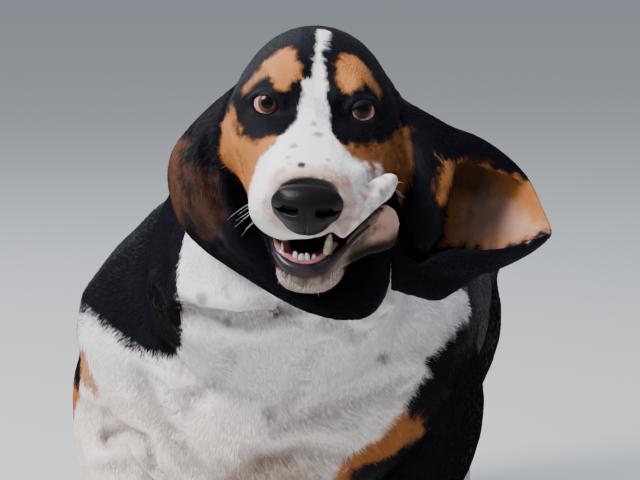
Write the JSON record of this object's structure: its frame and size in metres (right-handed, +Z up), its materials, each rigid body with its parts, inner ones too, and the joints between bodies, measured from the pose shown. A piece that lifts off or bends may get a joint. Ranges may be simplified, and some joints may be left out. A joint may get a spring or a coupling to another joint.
{
  "type": "basset hound",
  "caption": "Life-size still model of a tricolour basset hound in mid-step with its mouth open, one long ear flung out and the other swept under its chin.",
  "frame": {"origin": "on the ground, below the middle of the bounding box", "axes": "+Z up; -Y is the way the dog faces, so +Y runs back along its length; +X is the dog's left"},
  "size_m": [0.4202, 0.9468, 0.4947],
  "materials": {
    "coat_black": "short glossy black hair",
    "coat_white": "short white hair over pink skin",
    "coat_tan": "short red-tan hair",
    "lip": "bare moist skin",
    "nose_leather": "pebbled and moist",
    "eye": "wet",
    "tooth": "enamel",
    "claw": "horn"
  },
  "bodies": {
    "root": {"torso": "coat_black", "neck": "coat_white", "head": "coat_tan", "lower_jaw": "lip", "nose": "nose_leather", "eye_right": "eye", "eye_left": "eye", "ear_right": "coat_black", "ear_left": "coat_black", "tail": "coat_black", "foreleg_right": "coat_white", "foreleg_left": "coat_white", "hindleg_right": "coat_tan", "hindleg_left": "coat_tan", "forepaw_right": "coat_white", "forepaw_left": "coat_white", "hindpaw_right": "coat_white", "hindpaw_left": "coat_white"}
  },
  "joints": []
}
